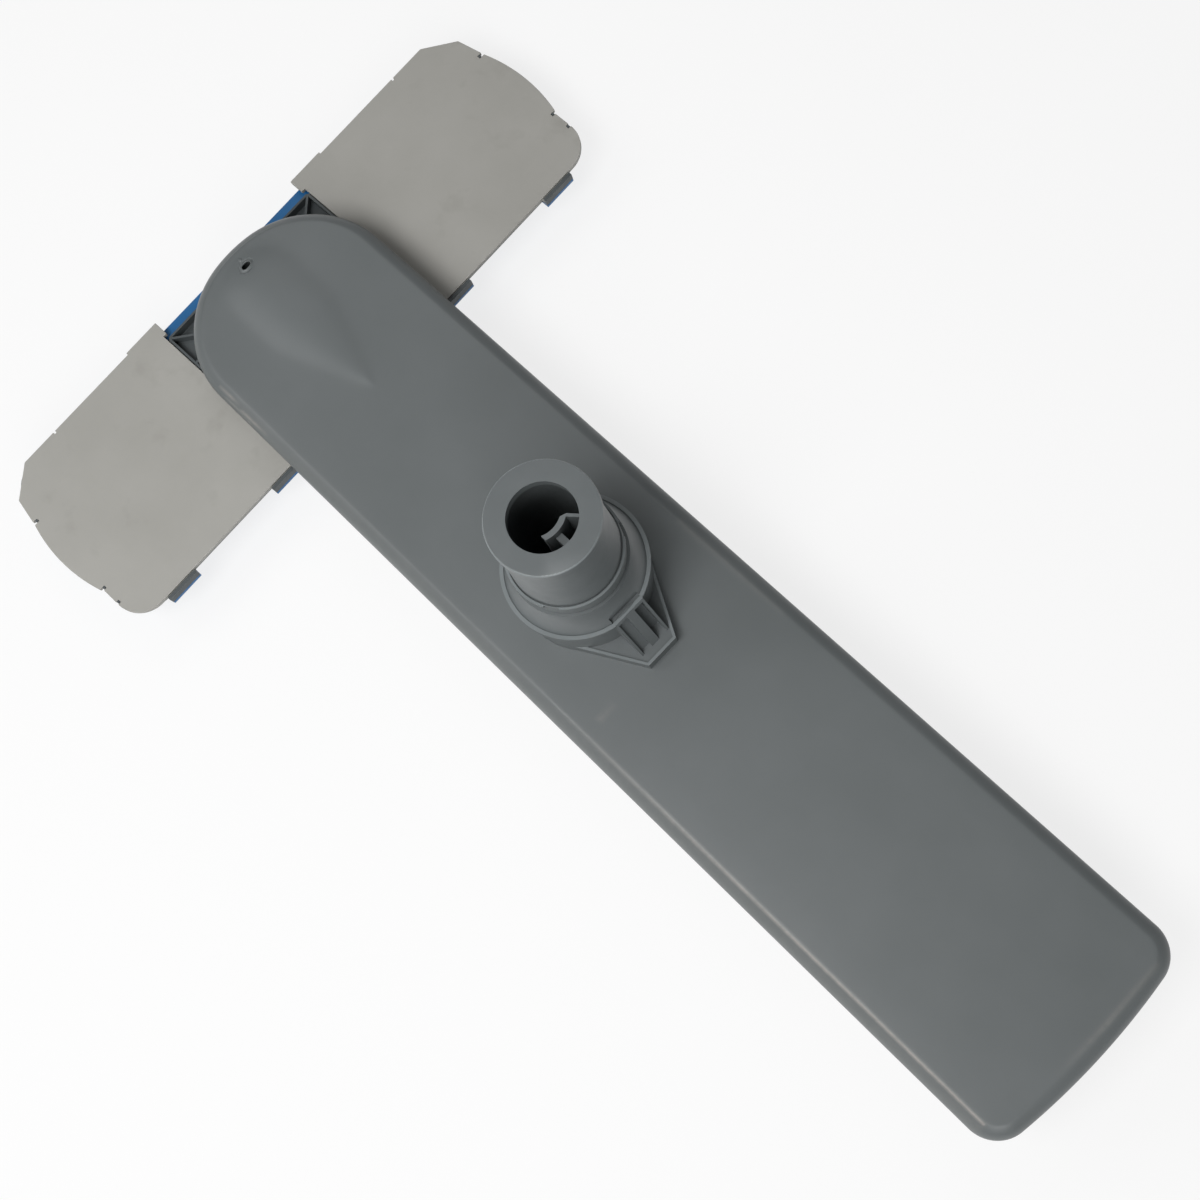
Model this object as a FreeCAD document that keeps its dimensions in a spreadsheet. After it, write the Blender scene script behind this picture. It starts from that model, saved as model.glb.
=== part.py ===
import FreeCAD, Part

import math
import os

import Sketcher
from FreeCAD import Rotation, Vector

# A dishwasher's lower spray arm with a small two-bladed rotor that spins on one end.
# Millimetres, +Z out of the mouth of the inlet tube, +X towards the rotor.
# The origin is on the tube's axis, in the plane of its mouth.

doc = FreeCAD.newDocument("SprayArm")
sheet = doc.addObject("Spreadsheet::Sheet", "Sizes")

# Driving dimensions: name, value in millimetres or degrees, what it is.
SIZES = [
    ("mouth_height", 72.3, "mouth of the inlet tube above the arm's face"),
    ("bore_radius", 10.0, "mouth of the inlet tube, inside"),
    ("rim_radius", 16.4, "rim of the inlet tube, outside"),
    ("rim_depth", 3.0, "thickness of the rim"),
    ("rim_round", 0.5, "rounding of the rim's edge"),
    ("neck_radius", 15.4, "tube just below the rim, outside"),
    ("skirt_radius", 16.5, "tube just above its ledge, outside"),
    ("ledge_height", 39.6, "ledge on the tube above the arm's face"),
    ("ledge_radius", 17.6, "ledge, outside"),
    ("ledge_bead", 0.7, "width of the bead on the ledge"),
    ("ledge_groove", 0.6, "depth of the groove inside that bead"),
    ("ledge_depth", 1.6, "thickness of the ledge"),
    ("band_radius", 17.0, "tube below its ledge, outside"),
    ("band_depth", 7.0, "foot of that band below the ledge's top"),
    ("ledge_gap", 4.5, "width of the gaps that break the ledge"),
    ("ledge_gap_turn", 122.5, "angle of the first gap from +X"),
    ("tube_wall", 2.4, "wall of the inlet tube"),
    ("journal_radius", 16.0, "part of the tube that turns in the collar"),
    ("flange_overhang", 4.4, "inner flange of the tube beyond its journal"),
    ("flange_depth", 2.0, "thickness of the inner flange"),
    ("washer_depth", 1.0, "thickness of the thrust washer"),
    ("key_radius", 7.9, "radius of the inner face of the key inside the tube"),
    ("key_face", 3.0, "middle of that face from the axis"),
    ("key_wall", 1.6, "thickness of the key"),
    ("key_left", 3.6, "end of the key on the +Y side"),
    ("key_right", 3.7, "end of its inner face on the -Y side"),
    ("key_slant", 1.9, "end of its outer face beyond that"),
    ("key_web", 0.9, "thickness of the web at that end"),
    ("key_web_turn", 219.0, "direction of that web from +X"),
    ("key_stay", 2.1, "width of the web at the key's middle"),
    ("key_stay_drop", 3.4, "middle web below the top of the key"),
    ("key_setback", 3.8, "top of the key below the mouth"),
    ("key_depth", 16.0, "length of the key along the tube"),
    ("collar_radius", 17.9, "top of the collar's neck, outside"),
    ("neck_sweep", 24.0, "hollow sweep of the collar's neck"),
    ("tier_height", 22.0, "collar's round step above the arm's face"),
    ("tier_radius", 22.5, "collar's round step, outside its ridge"),
    ("tier_inset", 1.4, "wall of the step inside its ridge"),
    ("tier_ridge", 1.2, "width and height of the ridge round the step"),
    ("tier_dish", 0.3, "depth of the dish inside the ridge"),
    ("plate_radius", 20.9, "round part of the collar's base plate"),
    ("plate_depth", 4.5, "thickness of that plate"),
    ("plate_lip", 0.9, "width of the lip round the base plate"),
    ("plate_lip_rise", 0.5, "height of that lip"),
    ("plate_tip", 33.1, "end of the plate's point from the axis"),
    ("plate_tip_half", 5.8, "half width of the plate's blunt end"),
    ("latch_half", 5.7, "half width of the latch"),
    ("latch_shift", 0.7, "middle of the latch towards -Y"),
    ("latch_top", 21.8, "outer face of the latch's bar from the axis"),
    ("latch_foot", 29.6, "foot of the latch's ribs from the axis"),
    ("latch_rib", 0.8, "thickness of the outer latch ribs"),
    ("latch_spine", 1.5, "half width of the middle latch rib"),
    ("latch_bar", 1.1, "thickness of the latch's bar"),
    ("latch_deep", 4.2, "recess between the ribs on the -Y side"),
    ("latch_shallow", 1.4, "recess between the ribs on the +Y side"),
    ("latch_sink", 0.7, "flat behind the bar, below the ridge"),
    ("latch_back", 19.4, "inner end of that flat from the axis"),
    ("collar_spigot", 18.9, "collar's spigot in the shell, radius"),
    ("collar_spigot_proud", 1.0, "that spigot below the shell's wall"),
    ("arm_reach", 170.6, "end of the arm that carries the rotor"),
    ("arm_tail", 199.9, "plain end of the arm from the axis"),
    ("reach_half", 36.8, "half width near the rotor"),
    ("tail_half", 38.6, "half width at the plain end"),
    ("reach_arc", 50.3, "radius of the arm's front end"),
    ("reach_corner", 34.8, "radius of its corners"),
    ("tail_arc", 236.0, "radius of the plain end"),
    ("tail_corner", 11.0, "radius of its corners"),
    ("arm_depth", 14.5, "thickness of the arm"),
    ("parting_depth", 7.6, "joint between the shells below the face"),
    ("shell_wall", 2.0, "wall of the arm's shells"),
    ("edge_round", 4.6, "rounding of the arm's outer edges"),
    ("tongue_width", 1.0, "tongue inside the joint of the shells"),
    ("tongue_rise", 1.8, "height of that tongue"),
    ("blister_radius", 13.0, "half width of the blister over the rotor's axis"),
    ("blister_rise", 2.6, "height of the blister"),
    ("blister_nose", 7.5, "middle of its round front beyond the rotor's axis"),
    ("blister_length", 19.0, "straight part of the blister"),
    ("blister_run", 37.0, "blister's point beyond that part"),
    ("tip_jet_run", 15.7, "jet beyond the rotor's axis"),
    ("tip_jet_half", 1.65, "half length of that jet's slot"),
    ("tip_jet_radius", 1.05, "half width of that jet's slot"),
    ("tip_jet_rim", 0.6, "width and height of the rim round that jet"),
    ("jet_radius", 4.2, "boss of a jet on the spray side"),
    ("jet_rise", 1.2, "height of that boss"),
    ("jet_round", 0.7, "rounding of its edge"),
    ("jet_slot_half", 2.4, "half length of a jet's slot"),
    ("jet_slot_radius", 0.9, "half width of a jet's slot"),
    ("jet_start", 42.0, "first jet on the plain side from the axis"),
    ("jet_step", 34.0, "distance between jets"),
    ("jet_offset", 13.0, "jets' distance from the middle line"),
    ("rotor_jet_start", 46.0, "first jet of a blade from the rotor's axis"),
    ("rotor_jet_step", 23.0, "distance between the jets of a blade"),
    ("rotor_jet_offset", 9.0, "blade jets' distance from its middle line"),
    ("rotor_inset", 27.1, "axis of the rotor from the arm's front end"),
    ("rotor_turn", 1.3, "turn of the rotor from square to the arm, as it lies"),
    ("rotor_gap", 2.2, "rotor's covers below the arm's spray face"),
    ("blade_reach", 113.0, "end of a blade from the rotor's axis"),
    ("cover_half", 36.3, "half width of a cover between its tabs"),
    ("cover_inner", 35.0, "inner edge of a cover from the middle"),
    ("cover_thick", 1.6, "thickness of a cover"),
    ("tab_proud", 0.8, "inner tab of a cover beyond its edge"),
    ("nick", 0.8, "nicks in a cover's edges"),
    ("tab_length", 12.8, "length of a tab"),
    ("tab_inward", 1.5, "inner tab beyond the cover's inner edge"),
    ("shoulder_drop", 4.4, "cover's end beside its bulge, short of the bulge"),
    ("chamfer_width", 8.5, "cover's cut corner, across"),
    ("chamfer_length", 10.5, "cover's cut corner, along the blade"),
    ("bulge_half", 17.0, "half width of a cover's bulged end"),
    ("bulge_arc", 62.0, "radius of the bulged end"),
    ("bulge_step", 0.8, "step beside the bulged end, on the side of the clips"),
    ("round_corner", 10.8, "rounded corner of a cover"),
    ("frame_margin", 0.9, "rotor frame inside the covers' edge"),
    ("frame_plate", 2.0, "thickness of the rotor frame's plate"),
    ("web_half", 29.7, "half width of the frame's ribbed middle"),
    ("web_margin", 0.35, "ribbed middle short of the covers"),
    ("web_corner", 1.5, "its corner radius"),
    ("web_sink", 0.4, "ribbed middle below the covers' face"),
    ("web_depth", 5.0, "depth of the frame's ribbed middle"),
    ("web_floor", 1.6, "floor of the frame's pockets"),
    ("rib_wall", 0.8, "ribs of the frame's middle"),
    ("cross_rib", 15.5, "cross ribs from the rotor's axis"),
    ("boss_wall", 2.2, "wall of the bearing bosses"),
    ("clip_tab", 0.9, "tabs under the clips, beyond the cover's edge"),
    ("clip_sink", 0.7, "those tabs below the cover's face"),
    ("clip_slot", 0.5, "slot between the cover's edge and the clip's hook"),
    ("clip_wall", 0.8, "thickness of a clip"),
    ("clip_rise", 0.2, "clip's hook above the cover"),
    ("clip_foot", 1.2, "foot of a clip below the cover"),
    ("clip_root", 1.0, "foot of a clip inside the frame's edge"),
    ("end_clip_wall", 0.8, "thickness of the clips at a blade's end"),
    ("end_clip_length", 1.0, "length of each of them"),
    ("tray_margin", 1.5, "rotor's spray shell inside the covers' edge"),
    ("tray_depth", 9.9, "depth of the rotor's spray shell"),
    ("tray_wall", 1.8, "wall of the rotor's spray shell"),
    ("tray_slope", 24.0, "slope of its sides from upright"),
    ("ear_depth", 0.7, "ears of the spray shell below its rim"),
    ("tray_corner", 12.0, "corner radius of the rotor's spray shell"),
    ("tray_round", 4.0, "rounding of the spray shell's lower edge"),
    ("spigot_radius", 9.0, "spigot that the rotor turns on"),
    ("spigot_wall", 2.0, "wall of the spigot"),
    ("spigot_flange", 13.0, "flange of the spigot, radius"),
    ("spigot_lip", 1.5, "thickness of the spigot's flange"),
    ("window_width", 7.0, "width of the spigot's windows"),
    ("bush_wall", 1.7, "wall of the rotor's bushes"),
    ("bush_flange", 13.4, "flange of a bush, radius"),
    ("bush_length", 3.6, "length of a bush in its boss"),
    ("bush_lip", 1.0, "flange of the lower bush, thickness"),
    ("cap_radius", 13.0, "retaining cap, radius"),
    ("cap_depth", 2.6, "thickness of the retaining cap"),
    ("cap_round", 0.8, "rounding of the cap's edge"),
    ("cap_plug", 5.0, "length of the cap's plug in the spigot"),
    ("running_gap", 0.35, "between pieces that turn on each other"),
    ("seat_gap", 0.1, "between pieces that are pushed together"),
    ("cut_over", 1.0, "cuts run on past the face they open"),
]


class Length:
    """A size with its number and the expression that keeps it bound to the sheet."""

    def __init__(self, number, text):
        self.number = number
        self.text = text

    def __add__(self, other):
        other = length(other)
        return Length(self.number + other.number, f"({self.text} + {other.text})")

    def __sub__(self, other):
        other = length(other)
        return Length(self.number - other.number, f"({self.text} - {other.text})")

    def __mul__(self, other):
        other = length(other)
        return Length(self.number * other.number, f"({self.text} * {other.text})")

    def __truediv__(self, other):
        other = length(other)
        return Length(self.number / other.number, f"({self.text} / {other.text})")

    def __neg__(self):
        return Length(-self.number, f"(-1 * {self.text})")

    def __radd__(self, other):
        return length(other) + self

    def __rsub__(self, other):
        return length(other) - self

    def __rmul__(self, other):
        return length(other) * self


def length(value):
    """A plain number as a Length, so that both can be added up."""
    if isinstance(value, Length):
        return value
    return Length(float(value), repr(float(value)))


def root(value):
    return Length(math.sqrt(value.number), f"sqrt({value.text})")


def cosine(degrees):
    return Length(math.cos(math.radians(degrees.number)), f"cos({degrees.text} * 1 deg)")


def sine(degrees):
    return Length(math.sin(math.radians(degrees.number)), f"sin({degrees.text} * 1 deg)")


def arc_tangent(value):
    """Angle in degrees whose tangent is the value."""
    return Length(math.degrees(math.atan(value.number)), f"(atan({value.text}) / 1 deg)")


class Sizes:
    """The sheet's cells by name, as Lengths."""

    def __init__(self, rows):
        for row, (name, value, note) in enumerate(rows, start=1):
            sheet.set(f"A{row}", note)
            sheet.set(f"B{row}", str(value))
            sheet.setAlias(f"B{row}", name)
            setattr(self, name, Length(value, f"Sizes.{name}"))


size = Sizes(SIZES)
doc.recompute()

# Heights that several pieces share, from the plane of the mouth.
face_z = -size.mouth_height
spray_z = face_z - size.arm_depth
rotor_z = spray_z - size.rotor_gap

# Axis of the rotor from the tube's axis.
rotor_axis = size.arm_reach - size.rotor_inset

# Sizes that follow from the others.
collar_spigot_depth = size.shell_wall + size.collar_spigot_proud
blister_ball = (size.blister_radius * size.blister_radius / size.blister_rise + size.blister_rise) / 2.0
blister_sunk = blister_ball - size.blister_rise
rotor_depth = size.cover_thick + size.frame_plate + size.tray_depth
plate_top = -size.cover_thick
plate_bottom = plate_top - size.frame_plate
web_reach = size.cover_inner - size.web_margin
blade_start = size.cover_inner + size.frame_margin
web_top = -size.web_sink
shoulder = size.blade_reach - size.shoulder_drop
tab_end = shoulder - size.round_corner - size.tab_proud
end_clip_room = size.end_clip_length + size.seat_gap * 2.0
clip_near = size.cover_half + size.clip_tab + size.seat_gap
clip_face = clip_near + size.clip_wall
bush_outer = size.spigot_radius + size.running_gap + size.bush_wall
bearing_radius = bush_outer + size.seat_gap
boss_radius = bearing_radius + size.boss_wall
spigot_end = -size.rotor_gap - rotor_depth - size.bush_lip - size.running_gap


def add_body(name):
    body = doc.addObject("PartDesign::Body", name)
    body.Label = name
    return body


def place(item, x=0.0, y=0.0, z=0.0):
    """Moves a piece to its place on the arm, bound to the sheet."""
    item.setExpression(".Placement.Base.x", length(x).text)
    item.setExpression(".Placement.Base.y", length(y).text)
    item.setExpression(".Placement.Base.z", length(z).text)


def place_on_rotor(item):
    """Moves a piece to the rotor's axis and turns it with the rotor."""
    item.Placement.Rotation = Rotation(Vector(0, 0, 1), size.rotor_turn.number)
    item.setExpression(".Placement.Rotation.Angle", size.rotor_turn.text)
    place(item, x=rotor_axis, z=rotor_z)


def add_sketch(body, name, role="XY_Plane", offset=0.0):
    plane = next(item for item in body.Origin.OriginFeatures if item.Role == role)
    sketch = body.newObject("Sketcher::SketchObject", name)
    sketch.AttachmentSupport = (plane, [""])
    sketch.MapMode = "FlatFace"
    sketch.setExpression(".AttachmentOffset.Base.z", length(offset).text)
    return sketch


def dimension(sketch, kind, parts, value):
    """Adds one driving dimension and binds it to the sheet."""
    value = length(value)
    index = sketch.addConstraint(Sketcher.Constraint(kind, *parts, value.number))
    sketch.setExpression(f"Constraints[{index}]", value.text)


def arc_between(start, end, radius):
    """Arc from start to end; a positive radius turns left, a negative one turns right."""
    chord = end - start
    middle = (start + end) * 0.5
    rise = math.sqrt(max(radius * radius - chord.Length * chord.Length / 4.0, 0.0))
    across = Vector(-chord.y, chord.x, 0) * (1.0 / chord.Length)
    centre = middle + across * math.copysign(rise, radius)
    first, last = (start, end) if radius > 0 else (end, start)
    first_turn = math.atan2(first.y - centre.y, first.x - centre.x)
    last_turn = math.atan2(last.y - centre.y, last.x - centre.x)
    ring = Part.Circle(centre, Vector(0, 0, 1), abs(radius))
    return Part.ArcOfCircle(ring, first_turn, last_turn)


def path(sketch, corners):
    """Closed outline through the corners; a third value is the radius of the arc that ends there."""
    points = [Vector(length(corner[0]).number, length(corner[1]).number, 0) for corner in corners]
    ends = []
    for number, corner in enumerate(corners):
        start = points[number - 1]
        end = points[number]
        if len(corner) == 3:
            radius = length(corner[2])
            leftward = radius.number > 0
            index = sketch.addGeometry(arc_between(start, end, radius.number), False)
            ends.append((index, 1, 2) if leftward else (index, 2, 1))
            dimension(sketch, "Radius", (index,), radius if leftward else -radius)
        else:
            index = sketch.addGeometry(Part.LineSegment(start, end), False)
            ends.append((index, 1, 2))
    for number, (index, _, last_end) in enumerate(ends):
        next_index, next_start, _ = ends[(number + 1) % len(ends)]
        joint = Sketcher.Constraint("Coincident", index, last_end, next_index, next_start)
        sketch.addConstraint(joint)
        dimension(sketch, "DistanceX", (index, last_end), corners[number][0])
        dimension(sketch, "DistanceY", (index, last_end), corners[number][1])


def circle(sketch, radius, x=0.0, y=0.0):
    """Circle placed by its centre."""
    x, y, radius = length(x), length(y), length(radius)
    ring = Part.Circle(Vector(x.number, y.number, 0), Vector(0, 0, 1), radius.number)
    index = sketch.addGeometry(ring, False)
    dimension(sketch, "Radius", (index,), radius)
    dimension(sketch, "DistanceX", (index, 3), x)
    dimension(sketch, "DistanceY", (index, 3), y)


def box(sketch, x0, y0, x1, y1):
    """Rectangle by two opposite corners."""
    path(sketch, [(x0, y0), (x1, y0), (x1, y1), (x0, y1)])


def bar(sketch, start, end, half, angle, x=0.0, y=0.0):
    """Rectangle along a ray from a point, which is the origin where none is given, from start to end."""
    along_x, along_y = cosine(angle), sine(angle)
    corners = []
    for reach, side in ((start, -half), (end, -half), (end, half), (start, half)):
        corners.append((x + reach * along_x - side * along_y, y + reach * along_y + side * along_x))
    path(sketch, corners)


def slot(sketch, x, y, half, radius, along_y=False):
    """Slot with round ends, along X or along Y, placed by its middle."""
    x, y = length(x), length(y)
    shift = Vector(0, half.number, 0) if along_y else Vector(half.number, 0, 0)
    middle = Vector(x.number, y.number, 0)
    first_turn = math.atan2(shift.y, shift.x) - math.pi / 2.0
    ends = []
    for number, side in enumerate((1.0, -1.0)):
        turned = first_turn + number * math.pi
        ring = Part.Circle(middle + shift * side, Vector(0, 0, 1), radius.number)
        ends.append(sketch.addGeometry(Part.ArcOfCircle(ring, turned, turned + math.pi), False))
    for first, last in ((ends[0], ends[1]), (ends[1], ends[0])):
        side = Part.LineSegment(sketch.getPoint(first, 2), sketch.getPoint(last, 1))
        index = sketch.addGeometry(side, False)
        sketch.addConstraint(Sketcher.Constraint("Tangent", first, 2, index, 1))
        sketch.addConstraint(Sketcher.Constraint("Tangent", index, 2, last, 1))
    sketch.addConstraint(Sketcher.Constraint("Equal", ends[0], ends[1]))
    dimension(sketch, "Radius", (ends[0],), radius)
    for number, side in enumerate((1.0, -1.0)):
        dimension(sketch, "DistanceX", (ends[number], 3), x if along_y else x + half * side)
        dimension(sketch, "DistanceY", (ends[number], 3), y + half * side if along_y else y)


def pad(body, sketch, depth, name):
    """Adds material upwards from the sketch."""
    feature = body.newObject("PartDesign::Pad", name)
    feature.Profile = sketch
    feature.setExpression("Length", length(depth).text)
    return feature


def pocket(body, sketch, depth, name):
    """Cuts downwards from the sketch, or both ways right through where no depth is given."""
    doc.recompute()
    before = body.Tip.Shape.Volume
    feature = body.newObject("PartDesign::Pocket", name)
    feature.Profile = sketch
    if depth is None:
        feature.Type = "ThroughAll"
        feature.SideType = "Symmetric"
    else:
        feature.setExpression("Length", length(depth).text)
    doc.recompute()
    if not feature.Shape.Volume < before:
        raise RuntimeError(f"{name} cuts nothing")
    return feature


def turn(body, sketch, name):
    """Turns a profile right round the upright axis."""
    feature = body.newObject("PartDesign::Revolution", name)
    feature.Profile = sketch
    feature.ReferenceAxis = (sketch, ["V_Axis"])
    feature.Angle = 360.0
    return feature


def round_edges(body, radius, chosen, name):
    """Rounds the edges of the body so far that the test picks."""
    doc.recompute()
    base = body.Tip
    found = enumerate(base.Shape.Edges, start=1)
    edges = [f"Edge{number}" for number, edge in found if chosen(edge)]
    if not edges:
        raise RuntimeError(f"{name} finds no edge")
    feature = body.newObject("PartDesign::Fillet", name)
    feature.Base = (base, edges)
    feature.setExpression("Radius", length(radius).text)
    return feature


def lies_at(edge, height):
    """True where the whole edge lies at that height."""
    level = length(height).number
    return abs(edge.BoundBox.ZMin - level) < 1e-4 and abs(edge.BoundBox.ZMax - level) < 1e-4


def ring_at(edge, height, radius):
    """True for a circle of that radius at that height."""
    if not lies_at(edge, height) or not isinstance(edge.Curve, Part.Circle):
        return False
    return abs(edge.Curve.Radius - length(radius).number) < 1e-4


def fuse(name, base, tool):
    joined = doc.addObject("Part::Fuse", name)
    joined.Base = base
    joined.Tool = tool
    return joined


# Inlet tube: it stays still on the machine's water post, and the arm turns round it.
def make_hub_tube():
    body = add_body("hub_tube")
    ledge_z = face_z + size.ledge_height
    groove_z = ledge_z - size.ledge_groove
    band_z = ledge_z - size.band_depth
    ledge_low = ledge_z - size.ledge_depth
    flange_z = face_z - collar_spigot_depth - size.running_gap - size.washer_depth
    end_z = flange_z - size.flange_depth
    flange_radius = size.journal_radius + size.flange_overhang
    chamber = size.neck_radius - size.tube_wall
    mouth_taper = chamber - size.bore_radius
    profile = add_sketch(body, "TubeProfile", "XZ_Plane")
    path(profile, [
        (size.bore_radius, 0.0),
        (size.bore_radius, -size.rim_depth),
        (chamber, -size.rim_depth - mouth_taper),
        (chamber, end_z),
        (flange_radius, end_z),
        (flange_radius, flange_z),
        (size.journal_radius, flange_z),
        (size.journal_radius, band_z),
        (size.band_radius, band_z),
        (size.band_radius, ledge_low),
        (size.ledge_radius, ledge_low),
        (size.ledge_radius, ledge_z),
        (size.ledge_radius - size.ledge_bead, ledge_z),
        (size.ledge_radius - size.ledge_bead, groove_z),
        (size.skirt_radius, groove_z),
        (size.neck_radius, -size.rim_depth),
        (size.rim_radius, -size.rim_depth),
        (size.rim_radius, 0.0),
    ])
    turn(body, profile, "TubeTurned")
    chosen = lambda edge: ring_at(edge, 0.0, size.rim_radius)
    round_edges(body, size.rim_round, chosen, "RimRound")

    # Three gaps cut the ledge back to the band.
    gaps = add_sketch(body, "LedgeGap", "XY_Plane", ledge_z)
    for number in range(3):
        angle = size.ledge_gap_turn + 120.0 * number
        bar(gaps, size.band_radius, size.ledge_radius + size.cut_over, size.ledge_gap / 2.0, angle)
    pocket(body, gaps, size.ledge_depth, "LedgeGapCut")
    add_key(body, chamber)
    return body


def add_key(body, chamber):
    """Key inside the tube: an arc of wall on the latch's side, with a thin web and a wide one."""
    top = -size.key_setback
    key_z = top - size.key_depth
    inner = size.key_radius
    outer = inner + size.key_wall
    centre = inner - size.key_face
    corners = (
        (outer, size.key_left, 0.0),
        (outer, -size.key_right - size.key_slant, outer),
        (inner, -size.key_right, 0.0),
        (inner, size.key_left, -inner),
    )
    outline = []
    for radius, y, bend in corners:
        x = centre - root(radius * radius - y * y)
        outline.append((x, y, bend) if bend else (x, y))
    key = add_sketch(body, "Key", "XY_Plane", key_z)
    path(key, outline)
    stay = add_sketch(body, "KeyStay", "XY_Plane", key_z)
    half = size.key_stay / 2.0
    stay_start = size.key_face + size.key_wall / 2.0
    web_end = chamber + size.tube_wall / 4.0
    box(stay, -web_end, -half, -stay_start, half)
    web = add_sketch(body, "KeyWeb", "XY_Plane", key_z)
    web_y = size.key_web / 2.0 - size.key_right - size.key_slant
    web_run = web_end + web_y
    bar(web, length(0.0), web_run, size.key_web / 2.0, size.key_web_turn, -size.key_face, web_y)
    pad(body, stay, size.key_depth - size.key_stay_drop, "KeyStayPad")
    pad(body, web, size.key_depth, "KeyWebPad")
    pad(body, key, size.key_depth, "KeyArcPad")


def make_hub_washer():
    """Thrust washer that lies on the tube's inner flange."""
    body = add_body("hub_thrust_washer")
    washer_z = face_z - collar_spigot_depth - size.running_gap
    ring = add_sketch(body, "WasherRing", "XY_Plane", washer_z - size.washer_depth)
    circle(ring, size.journal_radius + size.flange_overhang)
    circle(ring, size.journal_radius + size.seat_gap)
    pad(body, ring, size.washer_depth, "WasherPad")
    return body


def tangent_plate(sketch, inset):
    """Round plate drawn out to a blunt point on the -X side."""
    radius = size.plate_radius - inset
    tip = size.plate_tip - inset
    half = size.plate_tip_half - inset / 2.0
    # Each side leaves the circle where a line from the point's corner touches it.
    reach = tip * tip + half * half
    along = root(reach - radius * radius)
    touch_x = (tip * radius * radius - half * radius * along) / reach
    touch_y = (half * radius * radius + tip * radius * along) / reach
    path(sketch, [
        (-tip, half),
        (-tip, -half),
        (-touch_x, -touch_y),
        (radius, 0.0, radius),
        (-touch_x, touch_y, radius),
    ])


# Collar: fixed to the arm, it turns round the inlet tube.
def make_hub_collar():
    body = add_body("hub_collar")
    place(body, z=face_z)
    bore = size.journal_radius + size.running_gap
    neck_top = size.ledge_height - size.band_depth - size.running_gap
    shelf = size.tier_height - size.tier_dish
    ridge_in = size.tier_radius - size.tier_ridge
    ridge_low = size.tier_height - size.tier_ridge
    step_radius = size.tier_radius - size.tier_inset
    profile = add_sketch(body, "CollarProfile", "XZ_Plane")
    path(profile, [
        (bore, -collar_spigot_depth),
        (size.collar_spigot, -collar_spigot_depth),
        (size.collar_spigot, 0.0),
        (step_radius, 0.0),
        (step_radius, ridge_low),
        (size.tier_radius, ridge_low),
        (size.tier_radius, size.tier_height),
        (ridge_in, size.tier_height),
        (ridge_in, shelf),
        (size.collar_radius, neck_top, -size.neck_sweep),
        (bore, neck_top),
    ])
    turn(body, profile, "CollarTurned")
    base = add_sketch(body, "Plate")
    tangent_plate(base, length(0.0))
    circle(base, bore)
    pad(body, base, size.plate_depth, "PlatePad")
    lip = add_sketch(body, "PlateLip", "XY_Plane", size.plate_depth)
    tangent_plate(lip, length(0.0))
    tangent_plate(lip, size.plate_lip)
    pad(body, lip, size.plate_lip_rise, "PlateLipPad")
    add_latch(body)
    return body


def add_latch(body):
    """Sloped latch at the plate's point: a bar at the step's top and three ribs down to the plate."""
    right = -size.latch_half - size.latch_shift
    left = size.latch_half - size.latch_shift
    wedge = add_sketch(body, "LatchWedge", "XZ_Plane", -left)
    path(wedge, [
        (-size.collar_radius, size.plate_depth),
        (-size.collar_radius, size.tier_height),
        (-size.latch_top, size.tier_height),
        (-size.latch_foot, size.plate_depth),
    ])
    pad(body, wedge, left - right, "LatchPad")

    # The spaces between the ribs stop below the bar; one is deeper than the other.
    bar_bottom = size.tier_height - size.latch_bar
    spine_right = -size.latch_spine - size.latch_shift
    spine_left = size.latch_spine - size.latch_shift
    spaces = (
        ("DeepRecess", right + size.latch_rib, spine_right, size.latch_deep),
        ("ShallowRecess", spine_left, left - size.latch_rib, size.latch_shallow),
    )
    for name, start, end, depth in spaces:
        recess = add_sketch(body, name, "XZ_Plane", -start)
        path(recess, [
            (-size.latch_foot - size.cut_over, size.plate_depth),
            (-size.latch_foot + depth, size.plate_depth),
            (-size.latch_top + depth, bar_bottom),
            (-size.latch_top - size.cut_over, bar_bottom),
        ])
        pocket(body, recess, end - start, name + "Cut")

    # The ridge is cut back to the sloped face, and the neck's foot to a flat behind the bar.
    slope = (size.tier_height - size.plate_depth) / (size.latch_foot - size.latch_top)
    over = size.tier_radius - size.latch_top + size.cut_over
    face = add_sketch(body, "LatchFace", "XZ_Plane", -right)
    path(face, [
        (-size.latch_top, size.tier_height),
        (-size.latch_top - over, size.tier_height),
        (-size.latch_top - over, size.tier_height - over * slope),
    ])
    pocket(body, face, left - right, "LatchFaceCut")
    flat_top = (size.tier_height + size.ledge_height) / 2.0
    flat = add_sketch(body, "LatchFlat", "XY_Plane", flat_top)
    box(flat, -size.latch_top + size.latch_bar, right, -size.latch_back, left)
    pocket(body, flat, flat_top - size.tier_height + size.latch_sink, "LatchFlatCut")


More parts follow.
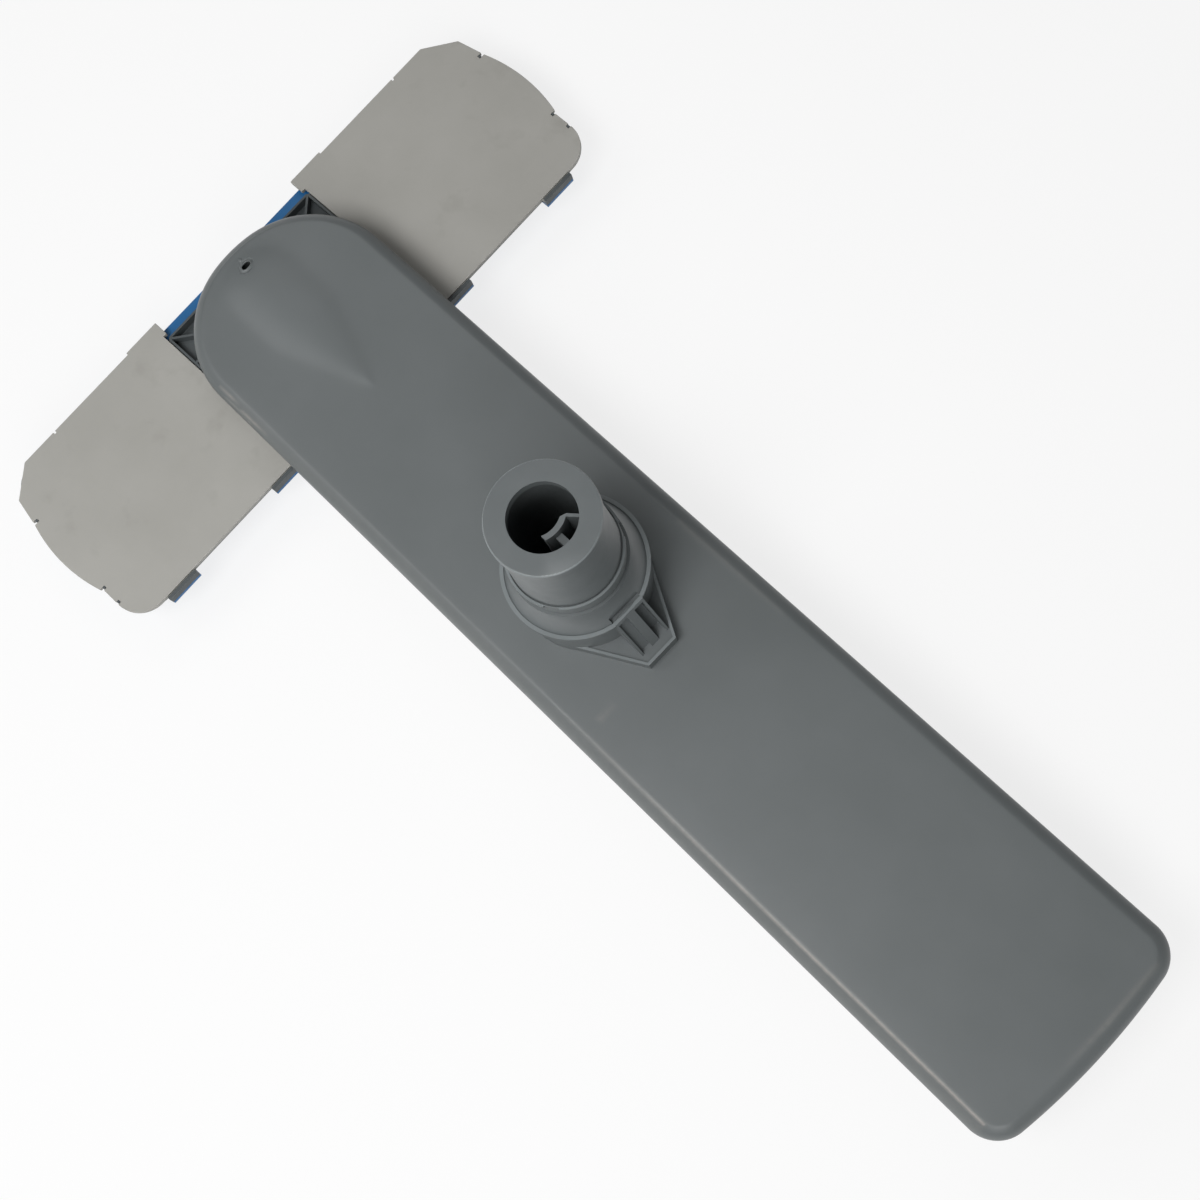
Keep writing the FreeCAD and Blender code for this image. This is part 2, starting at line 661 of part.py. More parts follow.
def arm_outline(sketch, inset):
    """Arm seen from above: two nearly straight sides and two ends of three tangent arcs each."""
    ends = []
    sides = (
        (1.0, size.arm_reach, size.reach_half, size.reach_arc, size.reach_corner),
        (-1.0, size.arm_tail, size.tail_half, size.tail_arc, size.tail_corner),
    )
    for way, *driving in sides:
        reach, half, arc, corner = (value - inset for value in driving)
        # The corner's centre lies where both its neighbours are tangent to it.
        between = arc - corner
        centre_y = half - corner
        run = root(between * between - centre_y * centre_y)
        centre_x = reach - arc + run
        touch_x = reach - arc + arc * run / between
        touch_y = arc * centre_y / between
        ends.append((centre_x * way, half, touch_x * way, touch_y, arc, corner))
    (near_x, near_y, near_touch_x, near_touch_y, near_arc, near_corner) = ends[0]
    (far_x, far_y, far_touch_x, far_touch_y, far_arc, far_corner) = ends[1]
    path(sketch, [
        (near_x, -near_y),
        (near_touch_x, -near_touch_y, near_corner),
        (near_touch_x, near_touch_y, near_arc),
        (near_x, near_y, near_corner),
        (far_x, far_y),
        (far_touch_x, far_touch_y, far_corner),
        (far_touch_x, -far_touch_y, far_arc),
        (far_x, -far_y, far_corner),
    ])


# Shell on the hub side of the arm, with the blister and the tip jet.
def make_arm_lower_shell():
    body = add_body("LowerShellBody")
    outline = add_sketch(body, "LowerOutline", "XY_Plane", -size.parting_depth)
    arm_outline(outline, length(0.0))
    pad(body, outline, size.parting_depth, "LowerPad")
    round_edges(body, size.edge_round, lambda edge: lies_at(edge, 0.0), "LowerRound")
    hollow = add_sketch(body, "LowerHollow", "XY_Plane", -size.shell_wall)
    arm_outline(hollow, size.shell_wall)
    pocket(body, hollow, size.parting_depth, "LowerHollowCut")
    inner = size.edge_round - size.shell_wall
    round_edges(body, inner, lambda edge: lies_at(edge, -size.shell_wall), "LowerInnerRound")
    hole = add_sketch(body, "HubHole")
    circle(hole, size.collar_spigot)
    pocket(body, hole, size.parting_depth, "HubHoleCut")

    domed = fuse("LowerShellDomed", body, make_blister())
    jet_x = rotor_axis + size.tip_jet_run
    half = size.tip_jet_half - size.tip_jet_radius
    rim_body = add_body("TipJetRim")
    rim = add_sketch(rim_body, "TipJetRimOutline", "XY_Plane", -size.shell_wall / 2.0)
    slot(rim, jet_x, 0.0, half, size.tip_jet_radius + size.tip_jet_rim, True)
    from_nose = size.tip_jet_run - size.blister_nose
    surface = root(blister_ball * blister_ball - from_nose * from_nose) - blister_sunk
    pad(rim_body, rim, size.shell_wall / 2.0 + surface + size.tip_jet_rim, "TipJetRimPad")
    hole_body = add_body("TipJetHole")
    hole = add_sketch(hole_body, "TipJetOutline", "XY_Plane", -size.shell_wall * 2.0)
    slot(hole, jet_x, 0.0, half, size.tip_jet_radius, True)
    pad(hole_body, hole, size.shell_wall * 2.0 + size.blister_rise * 2.0, "TipJetPad")
    shell = doc.addObject("Part::Cut", "arm_lower_shell")
    shell.Base = fuse("LowerShellSolid", domed, rim_body)
    shell.Tool = hole_body
    place(shell, z=face_z)
    return shell


def make_blister():
    """Blister: a barrel with two balls at its ends and a cone tangent to one, cut off in the shell's wall."""
    nose_x = rotor_axis + size.blister_nose
    heel_x = nose_x - size.blister_length
    barrel = doc.addObject("Part::Cylinder", "BlisterBarrel")
    barrel.setExpression("Radius", blister_ball.text)
    barrel.setExpression("Height", size.blister_length.text)
    barrel.Placement.Rotation = Rotation(Vector(0, 1, 0), 90.0)
    place(barrel, x=heel_x, z=-blister_sunk)
    solid = barrel
    for name, ball_x in (("BlisterNose", nose_x), ("BlisterHeel", heel_x)):
        dome = doc.addObject("Part::Sphere", name)
        dome.setExpression("Radius", blister_ball.text)
        place(dome, x=ball_x, z=-blister_sunk)
        solid = fuse(name + "Joined", solid, dome)
    span = root(size.blister_run * size.blister_run + blister_sunk * blister_sunk)
    tangent = root(span * span - blister_ball * blister_ball)
    point = doc.addObject("Part::Cone", "BlisterPoint")
    point.Radius1 = 0.0
    point.setExpression("Radius2", (blister_ball * tangent / span).text)
    point.setExpression("Height", (tangent * tangent / span).text)
    lean = 180.0 - arc_tangent(size.blister_run / blister_sunk)
    point.Placement.Rotation = Rotation(Vector(0, 1, 0), lean.number)
    point.setExpression(".Placement.Rotation.Angle", lean.text)
    place(point, x=heel_x - size.blister_run)
    slab = doc.addObject("Part::Box", "BlisterSlab")
    reach = size.blister_radius * 2.0
    slab.setExpression("Length", (size.blister_run + size.blister_length + reach * 2.0).text)
    slab.setExpression("Width", (reach * 2.0).text)
    slab.setExpression("Height", (size.shell_wall / 2.0 + size.blister_rise * 2.0).text)
    place(slab, x=heel_x - size.blister_run - reach, y=-reach, z=-size.shell_wall / 2.0)
    blister = doc.addObject("Part::Common", "Blister")
    blister.Base = fuse("BlisterDrop", solid, point)
    blister.Tool = slab
    return blister


def add_jets(body, places, face, wall, along_y=False):
    """Low round bosses under the face, each with a slot through the wall."""
    low = face - size.jet_rise
    bosses = add_sketch(body, "JetBosses", "XY_Plane", low)
    for x, y in places:
        circle(bosses, size.jet_radius, x, y)
    pad(body, bosses, size.jet_rise + wall / 2.0, "JetBossPad")
    chosen = lambda edge: ring_at(edge, low, size.jet_radius)
    round_edges(body, size.jet_round, chosen, "JetRound")
    slots = add_sketch(body, "JetSlots", "XY_Plane", face + wall + size.cut_over)
    half = size.jet_slot_half - size.jet_slot_radius
    for x, y in places:
        slot(slots, x, y, half, size.jet_slot_radius, along_y)
    pocket(body, slots, wall + size.jet_rise + size.cut_over * 2.0, "JetSlotCut")


# Shell on the spray side of the arm, with its jets and the seat of the spigot.
def make_arm_upper_shell():
    body = add_body("arm_upper_shell")
    place(body, z=face_z)
    low = -size.arm_depth
    floor = low + size.shell_wall
    outline = add_sketch(body, "UpperOutline", "XY_Plane", low)
    arm_outline(outline, length(0.0))
    pad(body, outline, size.arm_depth - size.parting_depth, "UpperPad")
    round_edges(body, size.edge_round, lambda edge: lies_at(edge, low), "UpperRound")
    hollow = add_sketch(body, "UpperHollow", "XY_Plane", -size.parting_depth)
    arm_outline(hollow, size.shell_wall)
    pocket(body, hollow, -size.parting_depth - floor, "UpperHollowCut")
    inner = size.edge_round - size.shell_wall
    round_edges(body, inner, lambda edge: lies_at(edge, floor), "UpperInnerRound")

    # A tongue round the joint stands inside the other shell.
    tongue_out = size.shell_wall + size.seat_gap
    tongue_in = tongue_out + size.tongue_width
    foot = add_sketch(body, "TongueFoot", "XY_Plane", -size.parting_depth - size.tongue_rise)
    arm_outline(foot, size.shell_wall / 2.0)
    arm_outline(foot, tongue_in)
    pad(body, foot, size.tongue_rise, "TongueFootPad")
    tongue = add_sketch(body, "Tongue", "XY_Plane", -size.parting_depth)
    arm_outline(tongue, tongue_out)
    arm_outline(tongue, tongue_in)
    pad(body, tongue, size.tongue_rise, "TonguePad")

    seat = add_sketch(body, "SpigotSeat", "XY_Plane", floor + size.cut_over)
    circle(seat, size.spigot_radius + size.seat_gap, rotor_axis)
    pocket(body, seat, size.shell_wall * 2.0, "SpigotSeatCut")
    jets = []
    for number in range(5):
        side = 1.0 if number % 2 == 0 else -1.0
        jets.append((-size.jet_start - size.jet_step * number, size.jet_offset * side))
    add_jets(body, jets, low, size.shell_wall)
    return body


# Hollow spigot that feeds the rotor and carries it.
def make_rotor_spigot():
    body = add_body("rotor_spigot")
    place(body, x=rotor_axis, z=spray_z)
    inner = size.spigot_radius - size.spigot_wall
    flange_top = size.shell_wall + size.spigot_lip
    profile = add_sketch(body, "SpigotProfile", "XZ_Plane")
    path(profile, [
        (inner, spigot_end),
        (size.spigot_radius, spigot_end),
        (size.spigot_radius, size.shell_wall),
        (size.spigot_flange, size.shell_wall),
        (size.spigot_flange, flange_top),
        (inner, flange_top),
    ])
    turn(body, profile, "SpigotTurned")

    # Four windows let water out between the two bushes.
    top = -size.rotor_gap + web_top - size.web_depth
    low = -size.rotor_gap - rotor_depth + size.bush_length
    half = size.window_width / 2.0
    for name, role in (("FrontWindows", "XZ_Plane"), ("SideWindows", "YZ_Plane")):
        window = add_sketch(body, name, role)
        box(window, -half, low, half, top)
        pocket(body, window, None, name + "Cut")
    return body


def make_rotor_cap():
    """Cap that is pressed into the spigot's end and keeps the rotor on it."""
    body = add_body("rotor_cap")
    place(body, x=rotor_axis, z=spray_z + spigot_end)
    plug = size.spigot_radius - size.spigot_wall - size.seat_gap
    profile = add_sketch(body, "CapProfile", "XZ_Plane")
    path(profile, [
        (0.0, -size.cap_depth),
        (size.cap_radius, -size.cap_depth),
        (size.cap_radius, 0.0),
        (plug, 0.0),
        (plug, size.cap_plug),
        (plug - size.spigot_wall, size.cap_plug),
        (plug - size.spigot_wall, 0.0),
        (0.0, 0.0),
    ])
    turn(body, profile, "CapTurned")
    chosen = lambda edge: ring_at(edge, -size.cap_depth, size.cap_radius)
    round_edges(body, size.cap_round, chosen, "CapRound")
    return body


def make_bush(name, flange_low, flange_high, sleeve_low, sleeve_high):
    """Flanged bush on the spigot, by the heights of its flange and of its sleeve."""
    body = add_body(name)
    place_on_rotor(body)
    bore = size.spigot_radius + size.running_gap
    for part, outer, low, high in (
        ("Flange", size.bush_flange, flange_low, flange_high),
        ("Sleeve", bush_outer, sleeve_low, sleeve_high),
    ):
        ring = add_sketch(body, name + part, "XY_Plane", low)
        circle(ring, outer)
        circle(ring, bore)
        pad(body, ring, high - low, name + part + "Pad")
    return body


def make_cover(name, side):
    """Flat cover of one blade, on the given side of the middle."""
    body = add_body(name)
    place_on_rotor(body)
    half = size.cover_half
    tab = half + size.tab_proud
    inner = size.cover_inner
    inner_tab = inner + size.tab_length
    tab_start = tab_end - size.tab_length
    bulge = size.bulge_half
    bulge_end = size.blade_reach - size.bulge_arc + root(size.bulge_arc * size.bulge_arc - bulge * bulge)
    step_end = bulge_end - size.bulge_step
    clip_out = bulge + end_clip_room
    corner_x = half - size.round_corner
    tip = half - size.chamfer_width
    rise = (bulge_end - shoulder) * (tip - clip_out) / (tip - bulge)
    step = size.web_half + size.tab_inward
    corners = [
        (-half, inner),
        (step, inner),
        (step, inner - size.tab_inward),
        (tab, inner - size.tab_inward),
        (tab, inner_tab),
        (half, inner_tab),
        (half, tab_start - size.nick),
        (half - size.nick, tab_start - size.nick),
        (half - size.nick, tab_start),
        (half, tab_start),
        (half, shoulder - size.chamfer_length),
        (tip, shoulder),
        (clip_out, shoulder + rise),
        (clip_out, shoulder),
        (bulge, shoulder),
        (bulge, bulge_end),
        (-bulge, bulge_end, size.bulge_arc),
        (-bulge, shoulder),
        (-clip_out, shoulder),
        (-clip_out, step_end),
        (-corner_x + end_clip_room, step_end),
        (-corner_x + end_clip_room, shoulder),
        (-corner_x, shoulder),
        (-corner_x, step_end),
        (-half, step_end - size.round_corner, size.round_corner),
    ]
    outline = add_sketch(body, name + "Outline", "XY_Plane", plate_top)
    path(outline, [(x, y * side, *(radius * side for radius in rest)) for x, y, *rest in corners])
    pad(body, outline, size.cover_thick, name + "Pad")

    # Thinner tabs reach under the frame's clips.
    tabs = add_sketch(body, name + "Tabs", "XY_Plane", plate_top)
    for low_y, high_y in ((inner, inner_tab), (tab_start, tab_end)):
        box(tabs, -half - size.clip_tab, low_y * side, -half + size.clip_tab, high_y * side)
    pad(body, tabs, size.cover_thick - size.clip_sink, name + "TabPad")
    return body


def rotor_outline(sketch, half, waist, reach, corner):
    """Both blades and the narrower middle between them."""
    blade = [
        (waist, blade_start),
        (half, blade_start),
        (half, reach - corner),
        (half - corner, reach, corner),
        (-half + corner, reach),
        (-half, reach - corner, corner),
        (-half, blade_start),
        (-waist, blade_start),
    ]
    path(sketch, blade + [(-x, -y, *rest) for x, y, *rest in blade])


def pocket_outlines(side_x, side_y):
    """Pockets of one quarter: two above its diagonal rib, parted by the cross rib, and one below."""
    wide = size.web_half - size.rib_wall
    tall = web_reach - size.rib_wall
    rib = size.rib_wall / 2.0
    slant = root(wide * wide + tall * tall)
    along_x, along_y = wide / slant, tall / slant
    bend = -boss_radius * side_x * side_y
    lift = rib * slant / wide
    near_x, far_x = size.cross_rib - rib, size.cross_rib + rib
    upper = [
        (along_x * boss_radius - along_y * rib, along_y * boss_radius + along_x * rib, bend),
        (near_x, near_x * tall / wide + lift),
        (near_x, tall),
        (rib, tall),
        (rib, boss_radius),
    ]
    corner = [
        (far_x, far_x * tall / wide + lift),
        (wide - rib * slant / tall, tall),
        (far_x, tall),
    ]
    lower = [
        (boss_radius, rib, bend),
        (wide, rib),
        (wide, tall - rib * slant / wide),
        (along_x * boss_radius + along_y * rib, along_y * boss_radius - along_x * rib),
    ]
    quarter = (upper, corner, lower)
    return [[(x * side_x, y * side_y, *rest) for x, y, *rest in corners] for corners in quarter]


# Frame of the rotor: a plate under the covers, a ribbed middle round the bearing, and clips.
def make_rotor_frame():
    body = add_body("rotor_frame")
    place_on_rotor(body)
    half = size.cover_half - size.frame_margin
    reach = shoulder - size.frame_margin
    plate = add_sketch(body, "FramePlate", "XY_Plane", plate_bottom)
    rotor_outline(plate, half, size.web_half, reach, size.round_corner)
    pad(body, plate, size.frame_plate, "FramePlatePad")
    web_low = web_top - size.web_depth
    middle = add_sketch(body, "FrameMiddle", "XY_Plane", web_low)
    rounded_box(middle, size.web_half, web_reach, size.web_corner)
    pad(body, middle, size.web_depth, "FrameMiddlePad")
    pockets = add_sketch(body, "FramePockets", "XY_Plane", web_top)
    for side_x in (-1.0, 1.0):
        for side_y in (-1.0, 1.0):
            for corners in pocket_outlines(side_x, side_y):
                path(pockets, corners)
    pocket(body, pockets, size.web_depth - size.web_floor, "FramePocketCut")
    bearing = add_sketch(body, "FrameBearing", "XY_Plane", web_top)
    circle(bearing, bearing_radius)
    pocket(body, bearing, size.web_depth * 2.0, "FrameBearingCut")
    add_clips(body, half)
    return body


def add_clips(body, half):
    """Hooked clips over the covers' tabs, on the side that faces the inlet tube."""
    low = plate_top - size.clip_foot
    hook_low = size.seat_gap - size.clip_sink
    levels = (
        ("ClipFoot", low, size.clip_foot, half - size.clip_root),
        ("ClipWall", low, size.clip_rise - low, clip_near),
        ("ClipHook", hook_low, size.clip_rise - hook_low, size.cover_half + size.clip_slot),
    )
    for name, bottom, depth, near in levels:
        sketch = add_sketch(body, name, "XY_Plane", bottom)
        clip_boxes(sketch, clip_face, near)
        pad(body, sketch, depth, name + "Pad")
    add_end_clips(body)


def clip_boxes(sketch, far, near):
    """A box at each of the four clips, between two distances from the middle line."""
    middles = (size.cover_inner + size.tab_length / 2.0, tab_end - size.tab_length / 2.0)
    clip_half = size.tab_length / 2.0 - size.seat_gap
    for side in (-1.0, 1.0):
        for middle in middles:
            middle_y = middle * side
            box(sketch, -far, middle_y - clip_half, -near, middle_y + clip_half)


def add_end_clips(body):
    """Three small clips in the nicks at each cover's end, level with the cover."""
    near = shoulder + size.seat_gap
    outer = near + size.end_clip_wall
    starts = (
        size.bulge_half + size.seat_gap,
        -size.bulge_half - size.seat_gap - size.end_clip_length,
        size.round_corner + size.seat_gap - size.cover_half,
    )
    spans = [(start, start + size.end_clip_length) for start in starts]
    levels = (
        ("EndClipFoot", size.frame_plate, shoulder - size.frame_margin - size.clip_root),
        ("EndClipWall", size.frame_plate + size.cover_thick, near),
    )
    for name, depth, inner in levels:
        sketch = add_sketch(body, name, "XY_Plane", plate_bottom)
        for side in (-1.0, 1.0):
            for low_x, high_x in spans:
                box(sketch, low_x, inner * side, high_x, outer * side)
        pad(body, sketch, depth, name + "Pad")


def rounded_box(sketch, half_x, half_y, corner):
    path(sketch, [
        (half_x, half_y - corner),
        (half_x - corner, half_y, corner),
        (-half_x + corner, half_y),
        (-half_x, half_y - corner, corner),
        (-half_x, -half_y + corner),
        (-half_x + corner, -half_y, corner),
        (half_x - corner, -half_y),
        (half_x, -half_y + corner, corner),
    ])


# Spray shell of the rotor: a tray with jets in its floor, closed by the frame.
def make_rotor_spray_shell():
    body = add_body("rotor_spray_shell")
    place_on_rotor(body)
    half = size.cover_half - size.tray_margin
    reach = shoulder - size.tray_margin
    wall = size.tray_wall
    low = -rotor_depth
    seat_depth = size.web_sink + size.web_depth + plate_bottom + size.seat_gap
    outline = add_sketch(body, "TrayOutline", "XY_Plane", plate_bottom)
    rounded_box(outline, half, reach, size.tray_corner)
    solid = pad(body, outline, size.tray_depth, "TrayPad")
    solid.Reversed = True
    solid.setExpression("TaperAngle", (-size.tray_slope).text)
    round_edges(body, size.tray_round, lambda edge: lies_at(edge, low), "TrayRound")
    hollow = add_sketch(body, "TrayHollow", "XY_Plane", plate_bottom)
    waist = size.web_half + size.seat_gap
    across = wall / cosine(size.tray_slope)
    rotor_outline(hollow, half - across, waist, reach - across, size.tray_corner - across)
    cut = pocket(body, hollow, size.tray_depth - wall, "TrayHollowCut")
    cut.setExpression("TaperAngle", (-size.tray_slope).text)
    seat = add_sketch(body, "TraySeat", "XY_Plane", plate_bottom)
    box(seat, -waist, -web_reach, waist, web_reach)
    pocket(body, seat, seat_depth, "TraySeatCut")
    ears = add_sketch(body, "TrayEars", "XY_Plane", plate_bottom - size.ear_depth)
    clip_boxes(ears, clip_face, half - wall / 2.0)
    pad(body, ears, size.ear_depth, "TrayEarPad")
    risers = add_sketch(body, "TrayEarRisers", "XY_Plane", plate_bottom)
    clip_boxes(risers, clip_face, size.cover_half - size.frame_margin + size.seat_gap)
    pad(body, risers, size.frame_plate - size.clip_foot - size.seat_gap, "TrayEarRiserPad")
    boss = add_sketch(body, "TrayBoss", "XY_Plane", low)
    circle(boss, boss_radius)
    pad(body, boss, size.bush_length, "TrayBossPad")
    bearing = add_sketch(body, "TrayBearing", "XY_Plane", low + size.bush_length)
    circle(bearing, bearing_radius)
    pocket(body, bearing, size.tray_depth, "TrayBearingCut")
    jets = []
    for side in (-1.0, 1.0):
        for number in range(3):
            way = side if number % 2 == 0 else -side
            reach_y = (size.rotor_jet_start + size.rotor_jet_step * number) * side
            jets.append((size.rotor_jet_offset * way, reach_y))
    add_jets(body, jets, low, wall, True)
    return body


def make_parts():
    """Every separate piece, by the name of its file."""
    upper_flange_top = size.rotor_gap - size.running_gap
    lower_flange_low = -rotor_depth - size.bush_lip
    sleeve_top = -rotor_depth + size.bush_length
    upper_sleeve = web_top - size.bush_length
    return [
        make_hub_tube(),
        make_hub_washer(),
        make_hub_collar(),
        make_arm_lower_shell(),
        make_arm_upper_shell(),
        make_rotor_spigot(),
        make_rotor_cap(),
        make_rotor_frame(),
        make_rotor_spray_shell(),
        make_cover("rotor_cover_left", 1.0),
        make_cover("rotor_cover_right", -1.0),
        make_bush("rotor_upper_bush", web_top, upper_flange_top, upper_sleeve, web_top),
        make_bush("rotor_lower_bush", lower_flange_low, -rotor_depth, -rotor_depth, sleeve_top),
    ]


def check(parts):
    """Stops before anything is written if an object failed or a piece isn't a sound solid."""
    for item in doc.Objects:
        if "Invalid" in item.State or "Error" in item.State:
            raise RuntimeError(f"{item.Label} failed: {item.State}")
    for item in parts:
        if item.Shape.isNull() or not item.Shape.isValid():
            raise RuntimeError(f"{item.Label} has no sound shape")


parts = make_parts()
doc.recompute()
check(parts)
os.makedirs("parts", exist_ok=True)
for item in parts:
    item.Shape.exportStep(f"parts/{item.Label}.step")
    print(item.Label, len(item.Shape.Solids), round(item.Shape.Volume))
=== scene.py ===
import math

import bmesh
import bpy
import numpy as np
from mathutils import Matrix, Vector


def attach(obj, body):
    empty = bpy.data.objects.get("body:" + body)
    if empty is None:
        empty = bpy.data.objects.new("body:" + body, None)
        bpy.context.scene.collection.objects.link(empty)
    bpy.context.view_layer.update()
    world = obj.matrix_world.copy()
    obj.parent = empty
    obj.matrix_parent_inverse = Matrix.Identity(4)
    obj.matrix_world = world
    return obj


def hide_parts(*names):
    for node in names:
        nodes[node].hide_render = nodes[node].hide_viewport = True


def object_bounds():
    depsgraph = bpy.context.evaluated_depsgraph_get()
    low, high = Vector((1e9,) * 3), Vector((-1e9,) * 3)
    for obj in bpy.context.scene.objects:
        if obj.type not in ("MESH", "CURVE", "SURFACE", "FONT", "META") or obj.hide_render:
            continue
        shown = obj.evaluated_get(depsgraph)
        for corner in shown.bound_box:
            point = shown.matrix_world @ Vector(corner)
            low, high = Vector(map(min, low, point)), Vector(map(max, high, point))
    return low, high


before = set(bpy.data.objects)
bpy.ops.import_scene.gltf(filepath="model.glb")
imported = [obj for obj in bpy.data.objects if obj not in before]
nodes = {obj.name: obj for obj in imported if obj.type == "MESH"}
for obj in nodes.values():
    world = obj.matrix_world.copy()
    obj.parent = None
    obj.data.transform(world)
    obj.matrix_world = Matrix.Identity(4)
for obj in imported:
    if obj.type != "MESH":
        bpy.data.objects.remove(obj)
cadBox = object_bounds()
print("frame loaded:", len(nodes), "nodes")

millimetre = 0.001
mergeReach = 0.002 * millimetre  # points nearer than this become one


# Camera where the photograph was taken from, looking down past the tube's mouth.
cameraView = {
    "place": (-0.150498, 0.032193, 0.433608),
    "turns": (13.4914, 9.0701, -135.5019),  # degrees about X, Y and Z
    "lens": 52.05,
    "sensor": 36.0,
    "near": 0.01,
    "far": 50.0,
}


def makeCamera(values):
    data = bpy.data.cameras.new("photoCamera")
    data.lens = values["lens"]
    data.sensor_width = values["sensor"]
    data.clip_start = values["near"]
    data.clip_end = values["far"]
    camera = bpy.data.objects.new("photoCamera", data)
    camera.location = values["place"]
    camera.rotation_euler = [math.radians(turn) for turn in values["turns"]]
    bpy.context.scene.collection.objects.link(camera)
    bpy.context.scene.camera = camera


makeCamera(cameraView)


# Materials: moulded plastic with uneven colour, a fine grain and small changes of gloss. Patches and
# grain are scales per metre, and "bump" is the grain's strength.
plastics = {
    "armGrey": {
        "dark": (0.130, 0.144, 0.146), "light": (0.144, 0.158, 0.161),
        "roughness": (0.38, 0.45), "patch": 26.0, "grain": 2600.0, "bump": 0.10,
        # Pale warm colour of the arm's marks: painted highlights on its edges, and some real wear.
        "wornAndHighlight": (0.370, 0.345, 0.318), "markPatch": 420.0,
    },
    "hubGrey": {
        "dark": (0.122, 0.136, 0.139), "light": (0.138, 0.152, 0.156),
        "roughness": (0.38, 0.46), "patch": 60.0, "grain": 2600.0, "bump": 0.10,
    },
    "frameGrey": {
        "dark": (0.060, 0.070, 0.073), "light": (0.086, 0.098, 0.102),
        "roughness": (0.45, 0.58), "patch": 70.0, "grain": 2600.0, "bump": 0.12,
    },
    "sprayBlue": {
        "dark": (0.008, 0.112, 0.300), "light": (0.014, 0.146, 0.372),
        "roughness": (0.34, 0.44), "patch": 45.0, "grain": 2200.0, "bump": 0.08,
    },
    "coverGrey": {
        "dark": (0.366, 0.359, 0.332), "light": (0.398, 0.391, 0.364),
        "roughness": (0.55, 0.68), "patch": 38.0, "grain": 3200.0, "bump": 0.18,
        "stain": (0.315, 0.306, 0.280), "stainPatch": 85.0,
    },
    "bearingPlastic": {
        "dark": (0.62, 0.62, 0.58), "light": (0.72, 0.72, 0.68),
        "roughness": (0.35, 0.45), "patch": 90.0, "grain": 2000.0, "bump": 0.05,
    },
}

# What the plastics share: each noise's detail and roughness, and the range of a noise that shows.
plasticNoise = {
    "colour": (4.0, 0.6), "stain": (3.0, 0.55), "wornAndHighlight": (4.0, 0.65), "gloss": (3.0, 0.6), "grain": (2.0, 0.5),
    "shown": (0.3, 0.7), "stainShown": (0.60, 0.78),
    "stainMost": 0.55,  # share of the stain's colour where it is strongest
    "markLeast": 0.55,  # share of a pale mark that its breaks leave
    "glossScale": 2.3,  # gloss patches to one colour patch
    "grainDepth": 0.00005,  # metres
}


def addNode(tree, kind, **settings):
    node = tree.nodes.new(kind)
    for name, value in settings.items():
        if name in node.inputs:
            node.inputs[name].default_value = value
        else:
            setattr(node, name, value)
    return node


def noiseAt(tree, source, scale, texture):
    node = addNode(tree, "ShaderNodeTexNoise")
    node.inputs["Scale"].default_value = scale
    node.inputs["Detail"].default_value, node.inputs["Roughness"].default_value = texture
    tree.links.new(source, node.inputs["Vector"])
    return node.outputs["Fac"]


# The shown range of a noise, stretched to run from low to high.
def spread(tree, source, low, high, shown=plasticNoise["shown"]):
    node = addNode(tree, "ShaderNodeMapRange")
    tree.links.new(source, node.inputs["Value"])
    node.inputs["From Min"].default_value, node.inputs["From Max"].default_value = shown
    node.inputs["To Min"].default_value = low
    node.inputs["To Max"].default_value = high
    return node.outputs["Result"]


# The Mix node's colour sockets are its inputs 6 and 7 and its output 2.
def mixColours(tree, factor, first, second):
    node = addNode(tree, "ShaderNodeMix", data_type="RGBA")
    tree.links.new(factor, node.inputs["Factor"])
    for value, socket in ((first, node.inputs[6]), (second, node.inputs[7])):
        if hasattr(value, "is_linked"):
            tree.links.new(value, socket)
        else:
            socket.default_value = (*value, 1.0)
    return node.outputs[2]


def makePlastic(name, values):
    material = bpy.data.materials.new(name)
    material.use_nodes = True
    tree = material.node_tree
    shader = tree.nodes["Principled BSDF"]
    place = addNode(tree, "ShaderNodeTexCoord").outputs["Object"]
    patches = noiseAt(tree, place, values["patch"], plasticNoise["colour"])
    colour = mixColours(tree, spread(tree, patches, 0.0, 1.0), values["dark"], values["light"])
    if "stain" in values:
        spots = noiseAt(tree, place, values["stainPatch"], plasticNoise["stain"])
        strength = spread(tree, spots, 0.0, plasticNoise["stainMost"], plasticNoise["stainShown"])
        colour = mixColours(tree, strength, colour, values["stain"])
    # The pale colour goes where an attribute of the points says: painted highlights and some real wear.
    if "wornAndHighlight" in values:
        marks = addNode(tree, "ShaderNodeAttribute", attribute_name="wearAndHighlight").outputs["Fac"]
        broken = noiseAt(tree, place, values["markPatch"], plasticNoise["wornAndHighlight"])
        share = addNode(tree, "ShaderNodeMath", operation="MULTIPLY")
        tree.links.new(marks, share.inputs[0])
        tree.links.new(spread(tree, broken, plasticNoise["markLeast"], 1.0), share.inputs[1])
        colour = mixColours(tree, share.outputs[0], colour, values["wornAndHighlight"])
    tree.links.new(colour, shader.inputs["Base Color"])
    gloss = noiseAt(tree, place, values["patch"] * plasticNoise["glossScale"], plasticNoise["gloss"])
    tree.links.new(spread(tree, gloss, *values["roughness"]), shader.inputs["Roughness"])
    grain = noiseAt(tree, place, values["grain"], plasticNoise["grain"])
    bump = addNode(tree, "ShaderNodeBump")
    bump.inputs["Strength"].default_value = values["bump"]
    bump.inputs["Distance"].default_value = plasticNoise["grainDepth"]
    tree.links.new(grain, bump.inputs["Height"])
    tree.links.new(bump.outputs["Normal"], shader.inputs["Normal"])
    return material


# Painted highlights on edges: the same plastic, paler and smoother, where small roundings and narrow tops
# catch the light.
edgeHighlight = {"finishes": ("hubGrey", "frameGrey"), "paler": 1.55, "smoother": 0.75}


def paintedHighlight(values, highlight):
    changed = dict(values)
    for key in ("dark", "light"):
        changed[key] = tuple(part * highlight["paler"] for part in values[key])
    changed["roughness"] = tuple(part * highlight["smoother"] for part in values["roughness"])
    return changed


